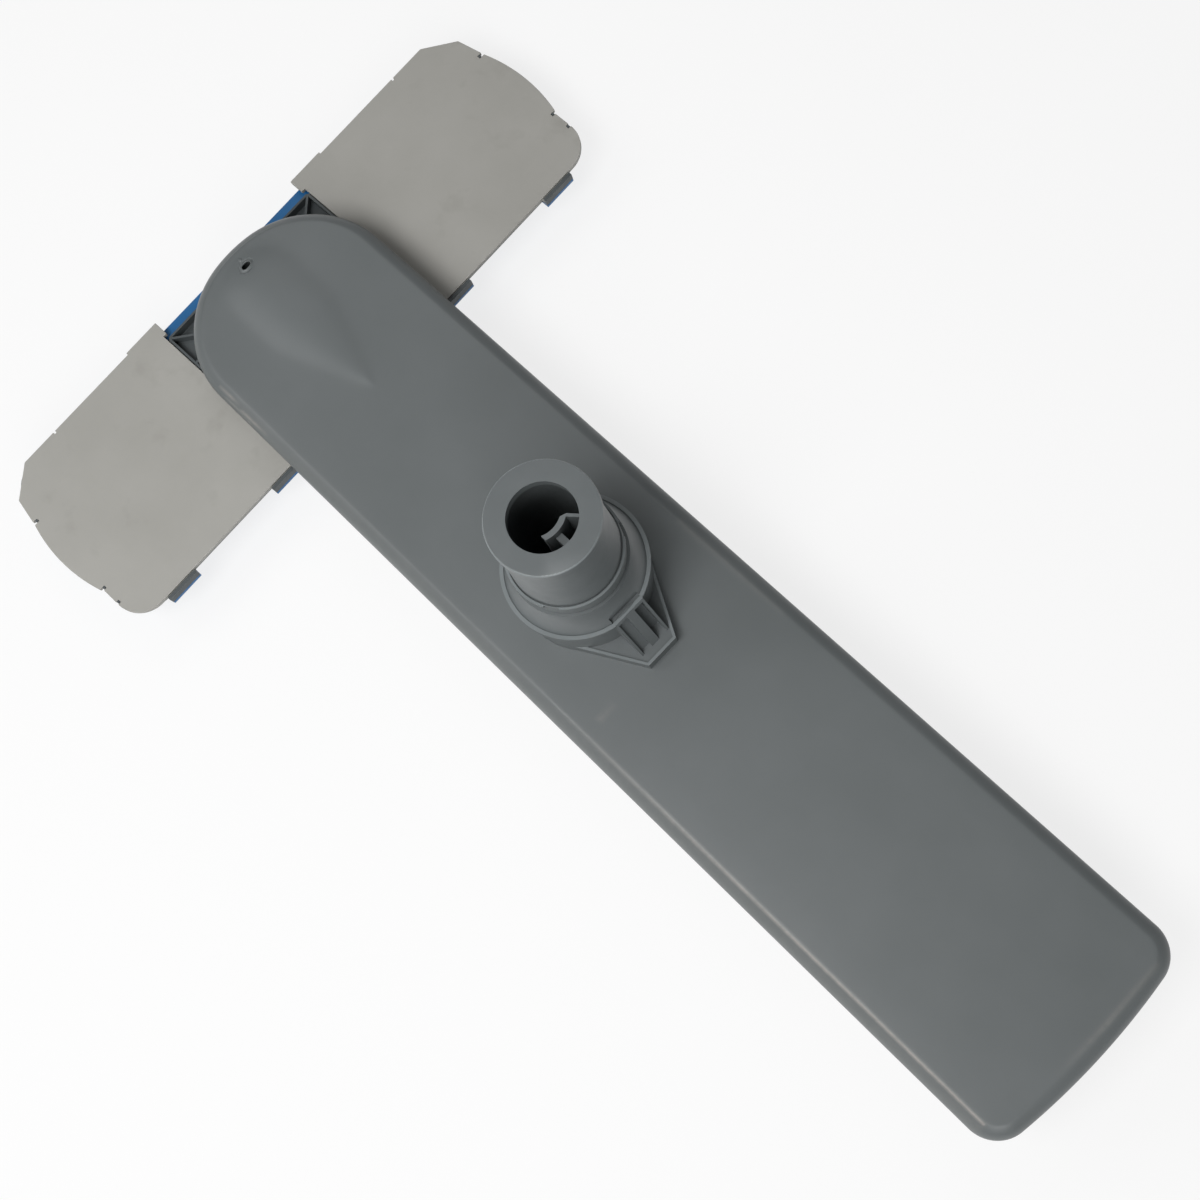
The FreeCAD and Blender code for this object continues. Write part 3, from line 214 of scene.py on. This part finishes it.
materials = {name: makePlastic(name, values) for name, values in plastics.items()}
# Paler copies of the hub's and frame's plastics, for painted highlights on edges.
edges = {name: makePlastic(name + "Edge", paintedHighlight(plastics[name], edgeHighlight)) for name in edgeHighlight["finishes"]}
finishes = {
    "hub_tube": "hubGrey", "hub_thrust_washer": "bearingPlastic", "hub_collar": "hubGrey",
    "arm_lower_shell": "armGrey", "arm_upper_shell": "armGrey", "rotor_spigot": "hubGrey",
    "rotor_cap": "frameGrey", "rotor_frame": "frameGrey", "rotor_spray_shell": "sprayBlue",
    "rotor_cover_left": "coverGrey", "rotor_cover_right": "coverGrey",
    "rotor_upper_bush": "bearingPlastic", "rotor_lower_bush": "bearingPlastic",
}


def dress(piece, material):
    piece.data.materials.clear()
    piece.data.materials.append(material)


for name, finish in finishes.items():
    dress(nodes[name], materials[finish])
print("materials made:", len(materials))


# A new piece gets its material, rides on its body and stands for one CAD node.
def takeOver(piece, name, body):
    finish = finishes[name]
    dress(piece, materials[finish])
    bpy.context.scene.collection.objects.link(piece)
    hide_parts(name)
    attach(piece, body)


# Moulded pieces: sharp edges of the CAD form get the small rounding that catches the light. Widths are
# in millimetres. On the pieces marked for it the rounding is painted paler as a highlight; "round" is the
# depth of the mouth's rounded rim and "levels" are the heights of narrow tops, both painted paler whole.
softEdges = {
    "hub_tube": {
        "body": "hub", "width": 0.34, "steps": 3, "paintedHighlight": True, "round": 0.6, "levels": (-32.7,),
    },
    "hub_collar": {"body": "arm", "width": 0.34, "steps": 3, "paintedHighlight": True, "levels": (-67.3, -50.3)},
    "rotor_frame": {"body": "rotor", "width": 0.2, "steps": 2, "paintedHighlight": True},
    "rotor_spray_shell": {"body": "rotor", "width": 0.22, "steps": 2},
    "rotor_cover_left": {"body": "rotor", "width": 0.22, "steps": 3},
    "rotor_cover_right": {"body": "rotor", "width": 0.22, "steps": 3},
    "arm_upper_shell": {"body": "arm", "width": 0.22, "steps": 2},
}
softAngle = 32.0  # degrees between faces from which an edge counts as sharp
flatAngle = 0.6  # degrees under which two faces count as one
roundTilt = (0.15, 0.97)  # upward tilt of the faces that make up a rounded rim
levelReach = 0.1  # millimetres to either side of a level


# Doubled points become one, and faces and edges with no size go.
def cleanMesh(work):
    bmesh.ops.remove_doubles(work, verts=work.verts, dist=mergeReach)
    bmesh.ops.dissolve_degenerate(work, edges=work.edges, dist=mergeReach)


# A copy of a CAD mesh with its doubled points merged, its flat faces joined and its sharp edges marked.
# Only the edges that stand out get rounded, not the inner corners between two faces.
def mergedCopy(name):
    source = nodes[name].data
    places = np.empty(len(source.vertices) * 3)
    source.vertices.foreach_get("co", places)
    mesh = bpy.data.meshes.new(name + "Soft")
    faces = [tuple(face.vertices) for face in source.polygons]
    mesh.from_pydata(places.reshape(-1, 3), [], faces)
    work = bmesh.new()
    work.from_mesh(mesh)
    cleanMesh(work)
    bmesh.ops.dissolve_limit(work, angle_limit=math.radians(flatAngle), verts=work.verts, edges=work.edges)
    bmesh.ops.recalc_face_normals(work, faces=work.faces)
    limit = math.radians(softAngle)
    for face in work.faces:
        face.smooth = True
    weights = work.edges.layers.float.new("bevel_weight_edge")
    for edge in work.edges:
        edge.smooth = not edge.is_manifold or edge.calc_face_angle() < limit
        edge[weights] = 1.0 if edge.is_manifold and edge.calc_face_angle_signed() > limit else 0.0
    work.to_mesh(mesh)
    work.free()
    return mesh


def softPiece(name, values):
    piece = bpy.data.objects.new(name + "_soft", mergedCopy(name))
    bevel = piece.modifiers.new("softEdges", "BEVEL")
    bevel.width = values["width"] * millimetre
    bevel.segments = values["steps"]
    bevel.limit_method = "WEIGHT"
    bevel.harden_normals = True
    takeOver(piece, name, values["body"])
    # The rounding and the chosen faces get the paler plastic, a painted highlight.
    if values.get("paintedHighlight"):
        piece.data.materials.append(edges[finishes[name]])
        bevel.material = 1
        highlightFaces(piece.data, values.get("round", 0.0), values.get("levels", ()))


# Faces painted paler whole as a highlight: the rounded rim just under the mouth, and the narrow tops
# of a lip or a bead, which face up at one of the levels.
def highlightFaces(mesh, depth, levels):
    centres = np.empty(len(mesh.polygons) * 3)
    normals = np.empty(len(mesh.polygons) * 3)
    mesh.polygons.foreach_get("center", centres)
    mesh.polygons.foreach_get("normal", normals)
    height, tilt = centres[2::3] / millimetre, normals[2::3]
    chosen = (height > -depth) & (tilt > roundTilt[0]) & (tilt < roundTilt[1])
    for level in levels:
        chosen |= (np.abs(height - level) < levelReach) & (tilt > roundTilt[1])
    mesh.polygons.foreach_set("material_index", chosen.astype(np.int32))


for name, values in softEdges.items():
    softPiece(name, values)
print("edges softened:", len(softEdges))


# Arm's outline, in millimetres: each end is an arc with a corner arc tangent to it and to the side.
armOutline = {
    "reach": {"end": 170.6, "half": 36.8, "arc": 50.3, "corner": 34.8, "arcSteps": 8, "cornerSteps": 64},
    "tail": {"end": 199.9, "half": 38.6, "arc": 236.0, "corner": 11.0, "arcSteps": 16, "cornerSteps": 28},
    "sideSteps": 170,
}


# Half of one end, from the middle line round to the side: an arc about a centre on the middle line, then
# a corner arc that touches it and the side. The inset draws every radius and reach in by the same amount.
def endOutline(values, inset):
    reach, half, arc, corner = (values[key] - inset for key in ("end", "half", "arc", "corner"))
    between = arc - corner
    centreY = half - corner
    run = math.sqrt(between * between - centreY * centreY)
    turn = math.atan2(centreY, run)
    front = np.linspace(0.0, turn, values["arcSteps"], endpoint=False)
    side = np.linspace(turn, math.pi / 2.0, values["cornerSteps"])
    x = np.concatenate([reach - arc + arc * np.cos(front), reach - arc + run + corner * np.cos(side)])
    y = np.concatenate([arc * np.sin(front), centreY + corner * np.sin(side)])
    return np.column_stack([x, y])


# The whole outline, once round from the front: the halves of both ends joined by a straight side, then
# the same mirrored across the middle line. Every inset has the same number of points.
def armRing(inset):
    front = endOutline(armOutline["reach"], inset)
    back = endOutline(armOutline["tail"], inset) * (-1.0, 1.0)
    shares = np.linspace(0.0, 1.0, armOutline["sideSteps"] + 2)[1:-1, None]
    side = front[-1] * (1.0 - shares) + back[-1] * shares
    half = np.concatenate([front, side, back[::-1]])
    return np.concatenate([half, half[-2:0:-1] * (1.0, -1.0)])


# Shell on the hub side, in millimetres from its face.
lowerShell = {
    "face": -72.3, "parting": 7.6, "groove": 0.22,
    # the edge's profile from the side up to the face: distance in from the side, height under the face
    "edge": (
        (0.0, -5.2), (0.06, -4.5), (0.22, -3.8), (0.5, -3.1), (0.95, -2.4), (1.55, -1.75), (2.3, -1.15),
        (3.1, -0.66), (3.55, -0.42), (3.85, -0.29), (4.1, -0.2), (4.35, -0.14), (4.6, -0.1),
    ),
    "crownRun": 9.0,  # distance in from the edge over which the face rises to its full height
    "faceSteps": 50, "wall": 1.9, "hubHole": 19.6,
    "blisterNose": 151.0, "blisterHeel": 132.0, "blisterRadius": 13.0, "blisterRise": 2.4,
    "blisterRun": 34.0,
    "balls": 120, "smallestBall": 0.02,  # balls along the blister's point, and the least as a share
    "blend": 0.55, "liftDepth": 0.4,  # easing into the face, and the depth down to which it is raised
    "jetX": 159.2, "jetHalf": 0.6, "jetRadius": 1.05, "jetHoleX": 2.1, "jetHoleY": 2.7,
}


# Height of the blister over the face: a ball's cap carried along its straight part, and the largest of
# the balls that grow from its point to that part. It is eased into the face as half the sum of that
# height and the root of its square and the blend's, so that it has no hard edge.
def blisterHeight(x, y, values):
    rise, radius = values["blisterRise"], values["blisterRadius"]
    ball = (radius * radius + rise * rise) / (2.0 * rise)
    sunk = ball - rise
    beyond = x - np.clip(x, values["blisterHeel"], values["blisterNose"])
    top = np.sqrt(np.maximum(ball * ball - beyond ** 2 - y ** 2, 0.0)) - sunk
    for share in np.linspace(values["smallestBall"], 1.0, values["balls"]):
        away = (x - values["blisterHeel"] + values["blisterRun"] * (1.0 - share)) ** 2 + y ** 2
        inside = (share * ball) ** 2 - away
        height = np.sqrt(np.maximum(inside, 0.0)) - sunk * share
        top = np.where(inside > 0.0, np.maximum(top, height), top)
    return (top + np.sqrt(top * top + 4.0 * values["blend"] ** 2)) / 2.0


# Rings from the joint up the side and round the edge are the outline drawn in by the profile's inset, at
# its height. Those across the face move in even shares from the edge to the middle line, and rise to the
# face's level as a square of the distance. The blister's height is added to the face.
def lowerShellPoints(values):
    rings = []
    levels = [(values["groove"], -values["parting"]), (0.0, -values["parting"] + values["groove"])]
    levels.extend(values["edge"])
    soft, low = values["edge"][-1]
    for inset, height in levels:
        ring = armRing(inset)
        rings.append(np.column_stack([ring, np.full(len(ring), height)]))
    rim = armRing(soft)
    front = armOutline["reach"]["end"] - armOutline["reach"]["half"]
    back = -armOutline["tail"]["end"] + armOutline["tail"]["half"]
    spine = np.column_stack([np.clip(rim[:, 0], back, front), np.zeros(len(rim))])
    for share in np.linspace(0.0, 1.0, values["faceSteps"] + 1)[1:]:
        ring = rim * (1.0 - share) + spine * share
        inwards = np.hypot(ring[:, 0] - rim[:, 0], ring[:, 1] - rim[:, 1])
        sunk = low * np.maximum(1.0 - inwards / values["crownRun"], 0.0) ** 2
        rings.append(np.column_stack([ring, sunk]))
    points = np.stack(rings)
    raised = points[..., 2] > -values["liftDepth"]
    points[..., 2] += blisterHeight(points[..., 0], points[..., 1], values) * raised
    return points


# Four-cornered faces between each ring of a grid and the next, each ring closed on itself.
def ringFaces(rows, columns):
    index = np.arange(rows * columns).reshape(rows, columns)
    after = np.roll(index, -1, axis=1)
    return np.stack([index[:-1], after[:-1], after[1:], index[1:]], axis=-1).reshape(-1, 4)


# A smooth mesh from arrays of points and faces, merged and without loose points. The strength of the
# pale marks at each point, painted highlights and some wear, goes with it as an attribute.
def meshFrom(name, points, faces, wearAndHighlight=None):
    mesh = bpy.data.meshes.new(name)
    mesh.from_pydata(points, [], faces.tolist())
    if wearAndHighlight is not None:
        mesh.attributes.new("wearAndHighlight", "FLOAT", "POINT").data.foreach_set("value", wearAndHighlight)
    work = bmesh.new()
    work.from_mesh(mesh)
    cleanMesh(work)
    loose = [point for point in work.verts if not point.link_faces]
    bmesh.ops.delete(work, geom=loose, context="VERTS")
    for face in work.faces:
        face.smooth = True
    work.to_mesh(mesh)
    work.free()
    return mesh


# Pale marks on the face, mostly painted highlights along its edges with some real wear: strokes in
# millimetres, with start, end, half width and strength at each.
armMarks = {
    # Painted highlight along the long edge on +Y, stronger towards the tail.
    "longEdge": ((-20.0, 33.82), (-120.0, 34.37), (0.85, 0.45), (0.1, 0.85)),
    "tailEdge": ((-120.0, 34.37), (-189.0, 34.75), (0.45, 0.4), (0.85, 1.0)),
    # Pale strokes at the nose's edge: partly wear and partly painted glints.
    "noseMark": ((136.5, 34.3), (127.0, 34.9), (0.28, 0.25), (0.5, 0.9)),
    "noseMarkNext": ((124.5, 35.1), (113.0, 35.5), (0.25, 0.22), (1.0, 0.3)),
    "noseRim": ((132.0, 35.9), (119.0, 36.25), (0.2, 0.2), (0.3, 0.8)),
    # Painted highlight across the tail's end.
    "tailRight": ((-194.0, -30.0), (-194.8, -9.0), (0.9, 0.8), (0.16, 0.26)),
    "tailLeft": ((-194.8, -9.0), (-194.3, 14.0), (0.8, 1.1), (0.26, 0.0)),
    "scuff": ((-32.6, 27.2), (-31.8, 21.5), (0.9, 0.9), (0.22, 0.12)),
    # Painted soft highlight along the long edge on -Y.
    "nearEdge": ((-8.0, -32.9), (-50.0, -33.1), (1.1, 0.9), (0.14, 0.08)),
    # Painted light on the edge's slope that faces the lamps: a pale band standing in for its lit side.
    "sideBand": ((128.0, 34.9), (-188.0, 36.9), (2.3, 2.3), (0.09, 0.15)),
}


# Strength of the marks at each point: every stroke fades as a bell curve away from its line.
def markStrengthAt(x, y, marks):
    total = np.zeros(x.shape)
    for (startX, startY), (endX, endY), halves, strengths in marks.values():
        runX, runY = endX - startX, endY - startY
        along = ((x - startX) * runX + (y - startY) * runY) / (runX * runX + runY * runY)
        share = np.clip(along, 0.0, 1.0)
        away = np.hypot(x - startX - runX * share, y - startY - runY * share)
        half = halves[0] + (halves[1] - halves[0]) * share
        strength = strengths[0] + (strengths[1] - strengths[0]) * share
        total = np.maximum(total, strength * np.exp(-(away / half) ** 2))
    return total


# The shell is its grid of rings without the faces inside the hub's round hole and the jet's oval one,
# and gets its wall inwards.
def makeLowerShell(values):
    points = lowerShellPoints(values)
    rows, columns = points.shape[:2]
    flat = points.reshape(-1, 3)
    faces = ringFaces(rows, columns)
    middle = flat[faces].mean(axis=1)
    away = np.hypot((middle[:, 0] - values["jetX"]) / values["jetHoleX"], middle[:, 1] / values["jetHoleY"])
    kept = (np.hypot(middle[:, 0], middle[:, 1]) > values["hubHole"]) & (away > 1.0)
    placed = (flat + (0.0, 0.0, values["face"])) * millimetre
    # Strength of the pale marks at each point: painted highlights and a little real wear.
    wearAndHighlight = markStrengthAt(flat[:, 0], flat[:, 1], armMarks)
    piece = bpy.data.objects.new("arm_lower_skin", meshFrom("armLowerSkin", placed, faces[kept], wearAndHighlight))
    wall = piece.modifiers.new("wall", "SOLIDIFY")
    wall.thickness = values["wall"] * millimetre
    wall.offset = -1.0
    takeOver(piece, "arm_lower_shell", "arm")


# Small jet in the blister: a raised rim round a slot, and the moulding's gate mark beyond it.
tipJet = {
    "steps": 24,
    # distance outwards from the slot's edge, and height over the blister
    "profile": (
        (1.8, -0.35), (1.15, -0.02), (0.75, 0.06), (0.55, 0.22), (0.42, 0.32), (0.2, 0.36), (0.05, 0.28),
        (0.0, 0.12), (0.1, -0.2), (0.7, -0.5), (0.85, -1.2), (0.85, -5.0),
    ),
    "markX": 3.6, "markRadius": 0.75, "markHeight": 0.32, "markSunk": 0.05, "markRings": 5,
}


# The rim is its profile carried round the slot, which is two half circles drawn apart along Y. The mark
# is a round cap that falls from its middle as the square of the distance.
def makeTipJet(values, shell):
    half = np.linspace(0.0, math.pi, values["steps"])
    turns = np.concatenate([half, half + math.pi])
    shift = np.repeat([shell["jetHalf"], -shell["jetHalf"]], values["steps"])
    rings = []
    for outwards, height in values["profile"]:
        radius = shell["jetRadius"] + outwards
        x = shell["jetX"] + radius * np.cos(turns)
        y = shift + radius * np.sin(turns)
        rings.append(np.column_stack([x, y, blisterHeight(x, y, shell) + height]))
    points = np.stack(rings)
    rows, columns = points.shape[:2]
    flat = points.reshape(-1, 3)
    faces = ringFaces(rows, columns)
    mark = []
    ring = np.linspace(0.0, 2.0 * math.pi, columns, endpoint=False)
    for share in np.linspace(1.0, 0.0, values["markRings"]):
        radius = values["markRadius"] * share
        x = shell["jetX"] + values["markX"] + radius * np.cos(ring)
        y = radius * np.sin(ring)
        lift = values["markHeight"] * (1.0 - share * share) - values["markSunk"]
        mark.append(np.column_stack([x, y, blisterHeight(x, y, shell) + lift]))
    marks = np.concatenate(mark)
    allFaces = np.concatenate([faces, ringFaces(len(mark), columns) + len(flat)])
    placed = (np.concatenate([flat, marks]) + (0.0, 0.0, shell["face"])) * millimetre
    piece = bpy.data.objects.new("tip_jet", meshFrom("tipJet", placed, allFaces))
    dress(piece, materials["armGrey"])
    bpy.context.scene.collection.objects.link(piece)
    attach(piece, "arm")


makeLowerShell(lowerShell)
makeTipJet(tipJet, lowerShell)
print("hub side of the arm made")


# Floor, lamps and sky of a plain studio.
studio = {
    "floorHalf": 4.0,
    "floorShade": 0.9,
    "shadowShare": 0.2,  # share of the floor's own light and shadow that shows
    "sky": 0.18,
    # each lamp's power in watts, size, distance, and the height and turn it stands at, in degrees
    "lamps": {
        "keyLamp": {"power": 2.55, "size": 0.32, "away": 0.7, "height": 63.0, "turn": 110.0},
        "sideLamp": {"power": 6.2, "size": 0.75, "away": 1.5, "height": 38.0, "turn": 148.0},
        "frontLamp": {"power": 1.3, "size": 0.45, "away": 0.85, "height": 44.0, "turn": 44.0},
        "backLamp": {"power": 0.68, "size": 0.5, "away": 0.85, "height": 50.0, "turn": 328.0},
    },
    "lampTarget": (0.075, 0.0, -0.07),
}


# Matt floor under the lowest point, mostly white where the camera, gloss or glass sees it.
def makeFloor(values, level):
    half, shade = values["floorHalf"], values["floorShade"]
    mesh = bpy.data.meshes.new("floor")
    corners = [(-half, -half, level), (half, -half, level), (half, half, level), (-half, half, level)]
    mesh.from_pydata(corners, [], [(0, 1, 2, 3)])
    floor = bpy.data.objects.new("floor", mesh)
    bpy.context.scene.collection.objects.link(floor)
    material = bpy.data.materials.new("paleFloor")
    material.use_nodes = True
    tree = material.node_tree
    tree.nodes.clear()
    output = addNode(tree, "ShaderNodeOutputMaterial")
    matt = addNode(tree, "ShaderNodeBsdfDiffuse")
    matt.inputs["Color"].default_value = (shade, shade, shade, 1.0)
    white = addNode(tree, "ShaderNodeEmission")
    path = addNode(tree, "ShaderNodeLightPath")
    seen = addNode(tree, "ShaderNodeMath", operation="MAXIMUM")
    tree.links.new(path.outputs["Is Camera Ray"], seen.inputs[0])
    tree.links.new(path.outputs["Is Glossy Ray"], seen.inputs[1])
    seenAlso = addNode(tree, "ShaderNodeMath", operation="MAXIMUM")
    tree.links.new(seen.outputs[0], seenAlso.inputs[0])
    tree.links.new(path.outputs["Is Transmission Ray"], seenAlso.inputs[1])
    share = addNode(tree, "ShaderNodeMath", operation="MULTIPLY")
    tree.links.new(seenAlso.outputs[0], share.inputs[0])
    share.inputs[1].default_value = 1.0 - values["shadowShare"]
    mix = addNode(tree, "ShaderNodeMixShader")
    tree.links.new(share.outputs[0], mix.inputs[0])
    tree.links.new(matt.outputs[0], mix.inputs[1])
    tree.links.new(white.outputs[0], mix.inputs[2])
    tree.links.new(mix.outputs[0], output.inputs["Surface"])
    mesh.materials.append(material)


# An area lamp on a ball round the target, at the given height and turn, facing the target.
def makeLamp(name, values, target):
    data = bpy.data.lights.new(name, "AREA")
    data.size = values["size"]
    data.energy = values["power"]
    lamp = bpy.data.objects.new(name, data)
    height, turn = math.radians(values["height"]), math.radians(values["turn"])
    flat = math.cos(height)
    outwards = Vector((flat * math.cos(turn), flat * math.sin(turn), math.sin(height)))
    lamp.location = Vector(target) + outwards * values["away"]
    lamp.rotation_euler = outwards.to_track_quat("Z", "Y").to_euler()
    bpy.context.scene.collection.objects.link(lamp)


# A soft even sky that the camera sees as white.
def makeSky(strength):
    world = bpy.data.worlds.new("studioSky")
    bpy.context.scene.world = world
    world.use_nodes = True
    tree = world.node_tree
    tree.nodes.clear()
    output = addNode(tree, "ShaderNodeOutputWorld")
    soft = addNode(tree, "ShaderNodeBackground")
    soft.inputs["Strength"].default_value = strength
    white = addNode(tree, "ShaderNodeBackground")
    path = addNode(tree, "ShaderNodeLightPath")
    mix = addNode(tree, "ShaderNodeMixShader")
    tree.links.new(path.outputs["Is Camera Ray"], mix.inputs[0])
    tree.links.new(soft.outputs[0], mix.inputs[1])
    tree.links.new(white.outputs[0], mix.inputs[2])
    tree.links.new(mix.outputs[0], output.inputs["Surface"])


makeFloor(studio, cadBox[0].z)
for name, values in studio["lamps"].items():
    makeLamp(name, values, studio["lampTarget"])
makeSky(studio["sky"])
bpy.context.scene.view_settings.view_transform = "Standard"
print("floor, lamps and sky made")
